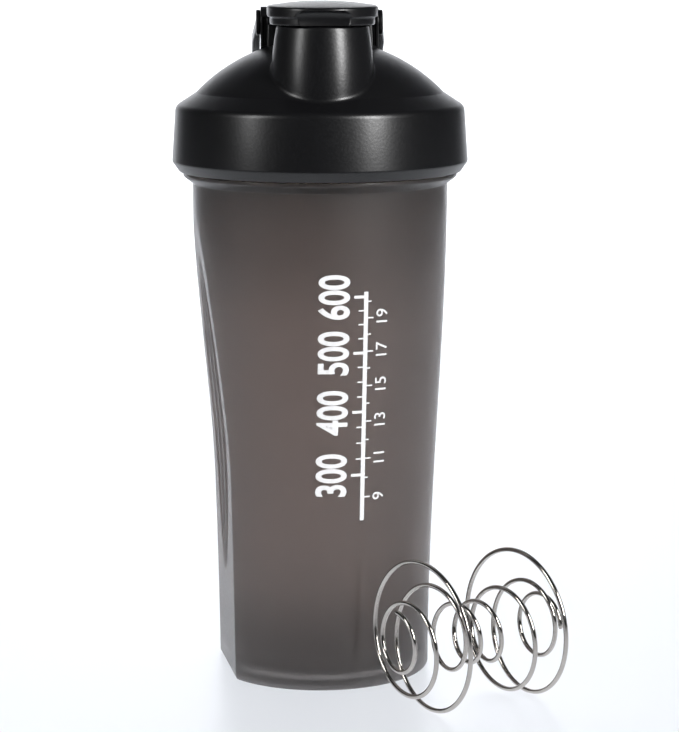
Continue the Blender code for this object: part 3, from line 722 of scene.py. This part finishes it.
def cap_angles():
    """Directions around the cap's plan, crowded at the two back corners."""
    corner = math.atan2(CAP_BACK_Y - SPOUT_Y, CAP_BAND_R)
    angles = [-math.pi + math.pi * k / 180 for k in range(180)]
    angles += [corner * k / 30 for k in range(30)]
    angles += [corner + (math.pi - 2 * corner) * k / 60 for k in range(60)]
    angles += [math.pi - corner * (1 - k / 30) for k in range(30)]
    return angles


def scooped(x, y, z):
    """Pushes a point of the cap's front into the thumb scoop."""
    inside = 1 - (x / SCOOP_HALF_W) ** 2 - ((z - SCOOP_Z) / SCOOP_HALF_H) ** 2
    if inside <= 0 or y > SPOUT_Y:
        return y
    return max(y, SPOUT_Y - CAP_R + SCOOP_DEPTH * math.sqrt(inside))


def scooped_ring(half, z, angles):
    """A level ring of the cap's side, with the thumb scoop pushed into its front."""
    return [(x, scooped(x, y, z), z) for x, y in (cap_edge(half, a) for a in angles)]


def cap_top(x, y):
    """The height of the cap's crowned top."""
    radius = (CAP_R**2 + CAP_CROWN_H**2) / (2 * CAP_CROWN_H)
    middle_y = (CAP_BACK_Y + SPOUT_Y - CAP_R) / 2
    top_z = CAP_Z + CAP_BAND_H + CAP_EDGE_H + CAP_CROWN_H
    return top_z - radius + math.sqrt(radius**2 - x**2 - (y - middle_y) ** 2)


def cap_top_rings(angles, middle_y):
    """Rings of the cap's crowned top, from near its middle out over its rounded edge."""
    rings = []
    steps = 12
    for k in range(1, steps):
        share = k / steps
        ring = []
        for a in angles:
            x, y = cap_edge(CAP_R - CAP_ROUND_R, a)
            x, y = x * share, middle_y + (y - middle_y) * share
            ring.append((x, y, cap_top(x, y)))
        rings.append(ring)
    steps = 6
    for k in range(steps + 1):
        turn = math.pi / 2 * k / steps
        ring = []
        for a in angles:
            x, y = cap_edge(CAP_R - CAP_ROUND_R * (1 - math.sin(turn)), a)
            ring.append((x, y, cap_top(x, y) - CAP_ROUND_R * (1 - math.cos(turn))))
        rings.append(ring)
    return rings


def cap_lip_rings(angles):
    """Rings down the cap's overhanging edge and in under it to the lower band."""
    rings = []
    steps = 16
    for k in range(1, steps + 1):
        ring = []
        for a in angles:
            x, y = cap_edge(CAP_R, a)
            high = cap_top(x, y) - CAP_ROUND_R
            z = high + (CAP_LIP_Z + 0.2 * MM - high) * k / steps
            ring.append((x, scooped(x, y, z), z))
        rings.append(ring)
    steps = 4
    for k in range(steps + 1):
        share = k / steps
        half = CAP_R - 0.15 * MM - (CAP_R - CAP_BAND_R - 0.3 * MM) * share
        z = CAP_LIP_Z - 0.02 * MM - 0.12 * MM * share
        rings.append(scooped_ring(half, z, angles))
    return rings


def cap_band_rings(angles):
    """Rings down the cap's lower band and round its bottom edge."""
    high = CAP_LIP_Z - 0.3 * MM
    edge = 0.4 * MM
    rings = []
    steps = 12
    for k in range(1, steps + 1):
        z = high + (CAP_Z + edge - high) * k / steps
        rings.append(scooped_ring(CAP_BAND_R, z, angles))
    steps = 4
    for k in range(1, steps + 1):
        turn = math.pi / 2 * k / steps
        z = CAP_Z + edge * (1 - math.sin(turn))
        half = CAP_BAND_R - edge * (1 - math.cos(turn))
        rings.append(scooped_ring(half, z, angles))
    return rings


def make_cap_body():
    """The flip cap's crowned top, overhanging lip, lower band and thumb scoop."""
    angles = cap_angles()
    middle_y = (CAP_BACK_Y + SPOUT_Y) / 2
    rings = cap_top_rings(angles, middle_y) + cap_lip_rings(angles) + cap_band_rings(angles)
    top_middle = (0.0, middle_y, cap_top(0.0, middle_y))
    return skin("cap_body", rings, start=top_middle, end=(0.0, SPOUT_Y, CAP_Z))


def make_flip_cap():
    """The flip cap with its spigot, hinge arm and barrel."""
    spigot_profile = rounded(
        [
            (0.0, CAP_Z + 1 * MM, 0),
            (SPIGOT_R, CAP_Z + 1 * MM, 0),
            (SPIGOT_R, CAP_Z - SPIGOT_H, 0.4 * MM),
            (0.0, CAP_Z - SPIGOT_H, 0),
        ],
        4,
    )
    spigot = lathe("cap_spigot", spigot_profile, 96, (0.0, SPOUT_Y))
    low = CAP_Z - 0.05 * MM - HINGE.z
    back = CAP_BACK_Y - 1.5 * MM - HINGE.y
    arm_outline = [(back, low), (0.0, low), (0.0, low + CAP_ARM_T), (back, low + CAP_ARM_T)]
    arm = prism_x("cap_arm", arm_outline, -BARREL_HALF, BARREL_HALF)
    bevel(arm, 0.4 * MM)
    barrel = rod_x("cap_barrel", BARREL_R, -BARREL_HALF, BARREL_HALF, 0.4 * MM)
    hole_depth = 5.3 * MM
    for side in (-1, 1):
        low_x, high_x = sorted((side * (BARREL_HALF - hole_depth), side * (BARREL_HALF + 1 * MM)))
        boolean(barrel, rod_x("bore", PIVOT_R + CLEARANCE, low_x, high_x, 0.1 * MM), "DIFFERENCE")
    cap = join("spout_cap", [make_cap_body(), spigot, arm, barrel])
    smooth(cap, 38)
    return cap


def make_spout_seal():
    """The soft plug on the cap's spigot."""
    top, low = SEAL_HIGH.z, SEAL_LOW.z
    outer = (SEAL_HIGH.x - SEAL_LOW.x) / 2
    inner = SPIGOT_R + CLEARANCE
    pocket_z = CAP_Z - SPIGOT_H - CLEARANCE
    profile = rounded(
        [
            (0.0, pocket_z, 0),
            (inner, pocket_z, 0.2 * MM),
            (inner, top, 0.3 * MM),
            (outer, top, 0.3 * MM),
            (outer - 0.25 * MM, (top + low) / 2, 2 * MM),
            (outer - 0.6 * MM, low, 0.9 * MM),
            (0.0, low, 0),
        ],
        5,
    )
    seal = lathe("spout_plug", profile, 128, (0.0, SPOUT_Y))
    smooth(seal)
    return seal


# ---- the carry loop

def loop_stations():
    """Matching (inner, outer) points along the loop, from end to end, in its own plane."""
    bend = 14 * MM
    straight = LOOP_REACH - LOOP_CROSS_W - LOOP_CORNER_R
    centre_x = LOOP_INNER_X - LOOP_CORNER_R
    half = []
    for k in range(41):
        y = straight * k / 40
        thick = LOOP_ARM_T + (LOOP_BAR_W - LOOP_ARM_T) * min(1.0, y / bend)
        half.append(((LOOP_INNER_X, y), (LOOP_INNER_X + thick, y)))
    for k in range(1, 33):
        turn = math.pi / 2 * k / 32
        thick = LOOP_BAR_W + (LOOP_CROSS_W - LOOP_BAR_W) * (k / 32)
        inner = (centre_x + LOOP_CORNER_R * math.cos(turn), straight + LOOP_CORNER_R * math.sin(turn))
        reach = LOOP_CORNER_R + thick
        half.append((inner, (centre_x + reach * math.cos(turn), straight + reach * math.sin(turn))))
    other = [((-inner[0], inner[1]), (-outer[0], outer[1])) for inner, outer in reversed(half)]
    return half + other


def make_carry_loop():
    """The carry loop: a rounded bar with an eye and an inward pivot at each end."""
    edge = 0.6 * MM
    rings = []
    for inner, outer in loop_stations():
        start = Vector(inner)
        across = Vector(outer) - start
        width = across.length
        along = across.normalized()
        half = LOOP_DEPTH / 2
        corners = [(width / 2, -half, 0), (0.0, -half, edge), (0.0, half, edge), (width, half, edge)]
        corners += [(width, -half, edge), (width / 2, -half, 0)]
        section = rounded(corners, 4)[:-1]
        rings.append([(start.x + along.x * u, start.y + along.y * u, v) for u, v in section])
    ends = [sum((Vector(p) for p in ring), Vector()) / len(ring) for ring in (rings[0], rings[-1])]
    bar = skin("loop_bar", rings, start=ends[0], end=ends[1])
    bar.data.transform(Matrix.Translation(HINGE) @ Matrix.Rotation(LOOP_FOLD, 4, "X"))
    pieces = [bar]
    pivot_end = BARREL_HALF - 5.0 * MM
    for side in (-1, 1):
        low_x, high_x = sorted((side * LOOP_INNER_X, side * (LOOP_INNER_X + LOOP_ARM_T)))
        pieces.append(rod_x("loop_eye", LOOP_EYE_R, low_x, high_x, 0.4 * MM, 96))
        low_x, high_x = sorted((side * pivot_end, side * (LOOP_INNER_X + 0.5 * MM)))
        pieces.append(rod_x("loop_pivot", PIVOT_R, low_x, high_x, 0.3 * MM))
    loop = join("carry_handle", pieces)
    smooth(loop, 38)
    return loop


# ---- the whisk

def whisk_point(t):
    """A point of the whisk's wire, with t from 0 at its near end to 1 at its far end."""
    bulbs = math.sin(2 * math.pi * (WHISK_PHASE + WHISK_WAVES * t)) ** 2
    radius = WHISK_END_R + (WHISK_BULB_R - WHISK_END_R) * bulbs**WHISK_SHARPNESS
    along = WHISK_LENGTH * ((1 - WHISK_PACKING) * t + WHISK_PACKING * (3 * t**2 - 2 * t**3))
    angle = math.pi / 2 - 2 * math.pi * WHISK_TURNS * t
    ahead = Vector((math.sin(WHISK_HEADING), math.cos(WHISK_HEADING), -WHISK_SLOPE))
    across = Vector((ahead.y, -ahead.x, 0.0)).normalized()
    swing = across * math.cos(angle) + Vector((0.0, 0.0, 1.0)) * math.sin(angle)
    return Vector((*WHISK_START, 0.0)) + ahead * along + swing * radius


def make_whisk():
    """The whisk: one smooth wire with cleanly cut, slightly rounded ends."""
    count = 1000
    sides = 20
    line = [whisk_point(k / count) for k in range(count + 1)]
    rings = []
    up = Vector((0.0, 0.0, 1.0))
    for k, point in enumerate(line):
        ahead = (line[min(k + 1, count)] - line[max(k - 1, 0)]).normalized()
        side = ahead.cross(up).normalized() if k == 0 else (side - ahead * side.dot(ahead)).normalized()
        over = ahead.cross(side)
        turns = [2 * math.pi * i / sides for i in range(sides)]
        radius = WIRE_R if 0 < k < count else 0.6 * WIRE_R
        rings.append([point + (side * math.cos(a) + over * math.sin(a)) * radius for a in turns])
    wire = skin("whisk_wire", rings, start=line[0], end=line[-1])
    lowest = min(vertex.co.z for vertex in wire.data.vertices)
    wire.data.transform(Matrix.Translation((0.0, 0.0, WHISK_LOW.z - lowest)))
    smooth(wire, 60)
    return wire


# ---- the print

def print_point(across, z):
    """Where a place on the flat print lands on the cup: across is measured from the scale's line."""
    radius = body_radius(z) + INK_LIFT
    angle = SCALE_LINE_ANGLE + across / radius
    return (radius * math.cos(angle), radius * math.sin(angle), z)


def flat_patch(name, corners):
    """A flat polygon of print, not yet wrapped: corners (across, z)."""
    mesh = bpy.data.meshes.new(name)
    mesh.from_pydata([(x, z, 0.0) for x, z in corners], [], [tuple(range(len(corners)))])
    return object_from(name, mesh)


def box_patch(low_x, low_z, high_x, high_z):
    """A flat rectangle of print."""
    return flat_patch("patch", [(low_x, low_z), (high_x, low_z), (high_x, high_z), (low_x, high_z)])


def text_patch(text, height, squeeze, x, z, heavy):
    """A numeral of print that reads upwards, centred on a place."""
    curve = bpy.data.curves.new("numeral", "FONT")
    curve.body = text
    curve.size = height * 1.37
    curve.align_x = "CENTER"
    curve.align_y = "CENTER"
    curve.offset = heavy
    curve.resolution_u = 8
    holder = object_from("numeral", curve)
    bpy.context.view_layer.update()
    shown = holder.evaluated_get(bpy.context.evaluated_depsgraph_get())
    mesh = bpy.data.meshes.new_from_object(shown)
    bpy.data.objects.remove(holder)
    turn = Matrix.Rotation(math.pi / 2, 4, "Z") @ Matrix.Diagonal((squeeze, 1.0, 1.0, 1.0))
    mesh.transform(Matrix.Translation((x, z, 0.0)) @ turn)
    return object_from("numeral", mesh)


def fill_heights(volumes):
    """The heights at which the cup holds each of a rising list of volumes."""
    step = 0.1 * MM
    held = 0.0
    z = FOOT_RECESS + CUP_FLOOR
    heights = []
    for volume in volumes:
        while held < volume:
            z += step
            radius = body_radius(z) - CUP_WALL
            face = min(grip_distance(z) - CUP_WALL, radius)
            cut = radius**2 * math.acos(face / radius) - face * math.sqrt(radius**2 - face**2)
            held += step * (math.pi * radius**2 - 2 * cut)
        heights.append(z)
    return heights


def print_patches():
    """The volume scale, still flat: a line and its ticks, millilitres left and ounces right."""
    patches = [box_patch(-SCALE_LINE_W / 2, SCALE_LOW_Z, SCALE_LINE_W / 2, SCALE_HIGH_Z)]
    millilitres = range(300, 601, 25)
    for amount, z in zip(millilitres, fill_heights([amount * MILLILITRE for amount in millilitres])):
        numbered = amount % 100 == 0
        reach, half = (4.2 * MM, 0.5 * MM) if numbered else (2.6 * MM, 0.25 * MM)
        patches.append(box_patch(-reach, z - half, -SCALE_LINE_W / 2, z + half))
        if numbered:
            patches.append(text_patch(str(amount), NUMERAL_H, 0.72, -10.4 * MM, z, 0.35 * MM))
    ounces = range(9, 21)
    for amount, z in zip(ounces, fill_heights([amount * FLUID_OUNCE for amount in ounces])):
        reach = 2.8 * MM if amount % 2 else 1.9 * MM
        patches.append(box_patch(SCALE_LINE_W / 2, z - 0.25 * MM, reach, z + 0.25 * MM))
        if amount % 2:
            patches.append(text_patch(str(amount), SMALL_NUMERAL_H, 1.0, 6.2 * MM, z, 0.03 * MM))
    return patches


def make_print():
    """The printed scale, cut into strips that bend, and wrapped onto the cup."""
    flat = join("volume_scale", print_patches())
    shape = bmesh.new()
    shape.from_mesh(flat.data)
    across = (0.8 * MM, (1, 0, 0), -20, 20)
    upwards = (5 * MM, (0, 1, 0), 10, 30)
    for step, normal, low, high in (across, upwards):
        for k in range(low, high):
            geometry = shape.verts[:] + shape.edges[:] + shape.faces[:]
            cut_at = Vector(normal) * step * k
            bmesh.ops.bisect_plane(shape, geom=geometry, dist=1e-7, plane_co=cut_at, plane_no=normal)
    for vertex in shape.verts:
        vertex.co = print_point(vertex.co.x, vertex.co.y)
    for face in shape.faces:
        middle = face.calc_center_median()
        if face.normal.dot(Vector((middle.x, middle.y, 0.0))) < 0:
            face.normal_flip()
    shape.to_mesh(flat.data)
    shape.free()
    flat.data.shade_smooth()
    return flat


# ---- materials

def new_material(name):
    """A material with its nodes, links, and its Principled shader."""
    made = bpy.data.materials.new(name)
    made.use_nodes = True
    nodes = made.node_tree.nodes
    return made, nodes, made.node_tree.links, nodes["Principled BSDF"]


def noise(nodes, links, scale, detail):
    """A noise pattern in the piece's own space."""
    place = nodes.new("ShaderNodeTexCoord")
    pattern = nodes.new("ShaderNodeTexNoise")
    pattern.inputs["Scale"].default_value = scale
    pattern.inputs["Detail"].default_value = detail
    links.new(place.outputs["Object"], pattern.inputs["Vector"])
    return pattern.outputs["Fac"]


def between(nodes, links, factor, low, high):
    """Maps the middle of a 0 to 1 value, from 0.3 to 0.7, onto another range."""
    spread = nodes.new("ShaderNodeMapRange")
    spread.inputs["From Min"].default_value = 0.3
    spread.inputs["From Max"].default_value = 0.7
    spread.inputs["To Min"].default_value = low
    spread.inputs["To Max"].default_value = high
    links.new(factor, spread.inputs["Value"])
    return spread.outputs["Result"]


def tint(nodes, links, factor, dark, light):
    """A colour between two, by a 0 to 1 value."""
    mix = nodes.new("ShaderNodeMix")
    mix.data_type = "RGBA"
    mix.inputs["A"].default_value = (*dark, 1)
    mix.inputs["B"].default_value = (*light, 1)
    links.new(factor, mix.inputs["Factor"])
    return mix.outputs["Result"]


def add_bump(nodes, links, shader, height, distance):
    """Bump from a height pattern."""
    bump = nodes.new("ShaderNodeBump")
    bump.inputs["Distance"].default_value = distance
    bump.inputs["Strength"].default_value = 1.0
    links.new(height, bump.inputs["Height"])
    links.new(bump.outputs["Normal"], shader.inputs["Normal"])


def black_plastic(name, grain, roughness):
    """Black moulded plastic with a fine orange-peel grain."""
    made, nodes, links, shader = new_material(name)
    broad = noise(nodes, links, 45, 3)
    fine = noise(nodes, links, 1300, 0)
    colour = tint(nodes, links, broad, (0.0032, 0.0032, 0.0038), (0.0055, 0.0055, 0.0062))
    links.new(colour, shader.inputs["Base Color"])
    rough = between(nodes, links, fine, roughness - 0.015, roughness + 0.02)
    links.new(rough, shader.inputs["Roughness"])
    shader.inputs["IOR"].default_value = 1.5
    add_bump(nodes, links, shader, fine, grain)
    return made


def height_shade(nodes, links):
    """Painted shade multiplied into the cup's tint at each height: darker at the foot, and darker under
    the collar where the lid shades the cup.
    """
    place = nodes.new("ShaderNodeTexCoord")
    split = nodes.new("ShaderNodeSeparateXYZ")
    spread = nodes.new("ShaderNodeMapRange")
    spread.inputs["From Max"].default_value = RIM_Z
    ramp = nodes.new("ShaderNodeValToRGB")
    ramp.color_ramp.interpolation = "EASE"
    stops = ((0.0, 0.30), (0.07, 0.68), (0.20, 1.02), (0.62, 0.99), (0.80, 0.69), (0.90, 0.48))
    while len(ramp.color_ramp.elements) < len(stops):
        ramp.color_ramp.elements.new(0.5)
    for element, (position, value) in zip(ramp.color_ramp.elements, stops):
        element.position = position
        element.color = (value, value, value, 1)
    links.new(place.outputs["Object"], split.inputs["Vector"])
    links.new(split.outputs["Z"], spread.inputs["Value"])
    links.new(spread.outputs["Result"], ramp.inputs["Fac"])
    return ramp.outputs["Color"]


def smoke_plastic():
    """Smoke-tinted frosted plastic that light passes through, with a moulded shine, and painted shade
    that darkens its tint at the foot and under the collar.
    """
    made, nodes, links, shader = new_material("smoke_frosted_plastic")
    broad = noise(nodes, links, 16, 2)
    fine = noise(nodes, links, 900, 2)
    colour = tint(nodes, links, broad, (0.372, 0.318, 0.294), (0.400, 0.342, 0.316))
    # The tint is multiplied by painted shade by height: darker at the foot and under the collar, where
    # the lid shades the cup.
    shaded = nodes.new("ShaderNodeMix")
    shaded.data_type = "RGBA"
    shaded.blend_type = "MULTIPLY"
    shaded.inputs["Factor"].default_value = 1.0
    links.new(colour, shaded.inputs["A"])
    links.new(height_shade(nodes, links), shaded.inputs["B"])
    links.new(shaded.outputs["Result"], shader.inputs["Base Color"])
    links.new(between(nodes, links, fine, 0.56, 0.64), shader.inputs["Roughness"])
    shader.inputs["Transmission Weight"].default_value = 1.0
    shader.inputs["IOR"].default_value = 1.49
    shader.inputs["Coat Weight"].default_value = 0.5
    shader.inputs["Coat Roughness"].default_value = 0.16
    add_bump(nodes, links, shader, fine, 0.008 * MM)
    return made


def grey_silicone():
    """Soft matt silicone."""
    made, nodes, links, shader = new_material("grey_silicone")
    fine = noise(nodes, links, 700, 3)
    colour = tint(nodes, links, fine, (0.13, 0.13, 0.14), (0.18, 0.18, 0.19))
    links.new(colour, shader.inputs["Base Color"])
    links.new(between(nodes, links, fine, 0.55, 0.7), shader.inputs["Roughness"])
    add_bump(nodes, links, shader, fine, 0.01 * MM)
    return made


def steel():
    """Bright drawn steel wire with faint die marks."""
    made, nodes, links, shader = new_material("bright_steel_wire")
    marks = noise(nodes, links, 260, 3)
    colour = tint(nodes, links, marks, (0.46, 0.43, 0.40), (0.58, 0.55, 0.52))
    links.new(colour, shader.inputs["Base Color"])
    links.new(between(nodes, links, marks, 0.07, 0.13), shader.inputs["Roughness"])
    shader.inputs["Metallic"].default_value = 1.0
    add_bump(nodes, links, shader, marks, 0.01 * MM)
    return made


def white_ink():
    """Screen-printed white ink, with a slightly uneven coat."""
    made, nodes, links, shader = new_material("white_print")
    coat = noise(nodes, links, 500, 3)
    colour = tint(nodes, links, coat, (0.80, 0.80, 0.80), (0.92, 0.92, 0.92))
    links.new(colour, shader.inputs["Base Color"])
    links.new(between(nodes, links, coat, 0.40, 0.55), shader.inputs["Roughness"])
    add_bump(nodes, links, shader, coat, 0.008 * MM)
    return made


def floor_paint():
    """The pale studio floor."""
    made, nodes, links, shader = new_material("pale_floor")
    cloudy = noise(nodes, links, 3, 2)
    colour = tint(nodes, links, cloudy, (0.86, 0.87, 0.90), (0.88, 0.89, 0.92))
    links.new(colour, shader.inputs["Base Color"])
    shader.inputs["Roughness"].default_value = 0.35
    return made


# ---- the studio

def make_floor():
    """A wide pale floor that curves up into a backdrop."""
    width, front, back, height, bend = 6.0, -2.0, 2.2, 2.6, 0.9
    side = rounded([(front, 0.0, 0), (back, 0.0, bend), (back, height, 0)], 24)
    rings = [[(x, y, z) for y, z in side] for x in (-width / 2, width / 2)]
    floor = skin("studio_floor", rings, close=False)
    floor.data.shade_smooth()
    floor.data.materials.append(floor_paint())
    return floor


def area_light(name, place, target, size, power, colour=(1, 1, 1)):
    """A soft box aimed at a point."""
    light = bpy.data.lights.new(name, "AREA")
    light.shape = "RECTANGLE"
    light.size, light.size_y = size
    light.energy = power
    light.color = colour
    holder = object_from(name, light)
    holder.location = place
    holder.rotation_euler = (Vector(target) - Vector(place)).to_track_quat("-Z", "Y").to_euler()
    return holder


def make_world():
    """A plain, even studio fill."""
    world = bpy.data.worlds.new("studio")
    world.use_nodes = True
    background = world.node_tree.nodes["Background"]
    background.inputs["Color"].default_value = (0.93, 0.95, 1.0, 1)
    background.inputs["Strength"].default_value = 0.06
    bpy.context.scene.world = world


def polar(azimuth, distance, z):
    """A place around the object: azimuth in degrees from the camera's side, to the right."""
    turn = math.radians(azimuth)
    return (distance * math.sin(turn), -distance * math.cos(turn), z)


def make_lights(pieces, floor):
    """Two soft boxes in front for the pieces, and washes that light only the floor and its backdrop."""
    pieces_only = bpy.data.collections.new("pieces_only")
    for piece in pieces:
        pieces_only.objects.link(piece)
    middle = (0.0, 0.0, 0.18)
    key = area_light("key", polar(41, 0.95, 0.56), middle, (0.24, 0.56), 11.5)
    fill = area_light("fill", polar(-57, 0.95, 0.56), middle, (0.22, 0.56), 3.9)
    for light in (key, fill):
        light.light_linking.receiver_collection = pieces_only
    floor_only = bpy.data.collections.new("floor_only")
    floor_only.objects.link(floor)
    backdrop = area_light("backdrop", (0.0, 0.5, 1.6), (0.0, 2.0, 0.5), (1.0, 0.6), 12)
    backdrop.data.spread = math.radians(80)
    cool = (0.95, 0.975, 1.0)
    wash = area_light("floor_wash", (0.0, 0.95, 1.2), (0.0, 0.95, 0.0), (1.9, 2.5), 13.4, cool)
    wash.data.spread = math.radians(24)
    shade = area_light("shadow_wash", (0.0, 0.5, 1.8), (0.0, 0.0, 0.0), (1.6, 1.0), 3.5)
    for light in (backdrop, wash, shade):
        light.light_linking.receiver_collection = floor_only
    wash.light_linking.blocker_collection = floor_only


def make_camera():
    """The photograph's camera."""
    lens = bpy.data.cameras.new("camera")
    lens.sensor_width = CAMERA_SENSOR
    lens.sensor_fit = "HORIZONTAL"
    lens.lens = CAMERA_LENS
    lens.clip_start = 0.05
    lens.clip_end = 20.0
    camera = object_from("camera", lens)
    camera.location = CAMERA_AT
    camera.rotation_euler = (math.pi / 2 - CAMERA_PITCH, 0.0, -CAMERA_YAW - CAMERA_TURN)
    bpy.context.scene.camera = camera


# ---- everything together

def place(piece, material, body, slot, *nodes):
    """Gives a piece its material and body, and hides the CAD nodes it stands for."""
    piece.data.materials.clear()
    piece.data.materials.append(material)
    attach(piece, body)
    if nodes:
        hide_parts(*nodes)
    return piece


def build():
    """The pieces on their bodies, then the studio around them."""
    lid_black = black_plastic("black_grained_plastic", 0.011 * MM, 0.30)
    cap_black = black_plastic("black_satin_plastic", 0.002 * MM, 0.30)
    silicone = grey_silicone()
    pieces = [
        place(make_cup(), smoke_plastic(), "cup", "smoke_plastic", "cup"),
        place(make_print(), white_ink(), "cup", "white_ink"),
        place(make_lid(), lid_black, "lid", "black_plastic", "lid"),
        place(make_gasket(), silicone, "lid_seal", "silicone", "lid_gasket"),
        place(make_flip_cap(), cap_black, "flip_cap", "black_plastic", "flip_cap"),
        place(make_spout_seal(), silicone, "flip_cap", "silicone", "spout_seal"),
        place(make_carry_loop(), cap_black, "carry_loop", "black_plastic", "carry_loop"),
        place(make_whisk(), steel(), "whisk", "steel_wire", "whisk"),
    ]
    make_world()
    make_lights(pieces, make_floor())
    make_camera()
    bpy.context.scene.view_settings.view_transform = "Standard"


build()
